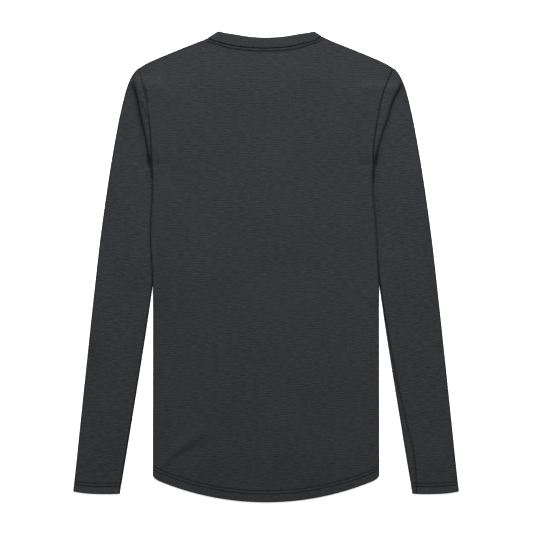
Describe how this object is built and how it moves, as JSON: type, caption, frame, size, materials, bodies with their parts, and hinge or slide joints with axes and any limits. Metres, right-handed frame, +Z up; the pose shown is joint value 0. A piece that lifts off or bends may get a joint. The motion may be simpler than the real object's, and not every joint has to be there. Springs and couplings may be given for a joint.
{
  "type": "long-sleeved base layer top",
  "caption": "Close-fitting long-sleeved crew-neck knit top laid flat with its back up, sleeves beside the body, turned-up cuffs and a curved hem.",
  "frame": {"origin": "middle of the garment's box in plan, on the surface that it lies on", "axes": "+Y towards the neck, +X towards the wearer's right, +Z up through the back of the garment"},
  "size_m": [0.5962, 0.7296, 0.0063],
  "materials": {
    "body_knit": "heathered charcoal fine rib knit, matt",
    "sleeve_knit": "heathered charcoal fine rib knit, matt",
    "band_knit": "smooth charcoal knit, folded double",
    "thread": "dark sewing thread"
  },
  "bodies": {
    "root": {"back_panel": "body_knit", "front_panel": "body_knit", "sleeve_left": "sleeve_knit", "sleeve_right": "sleeve_knit", "neck_band": "band_knit"}
  },
  "joints": []
}
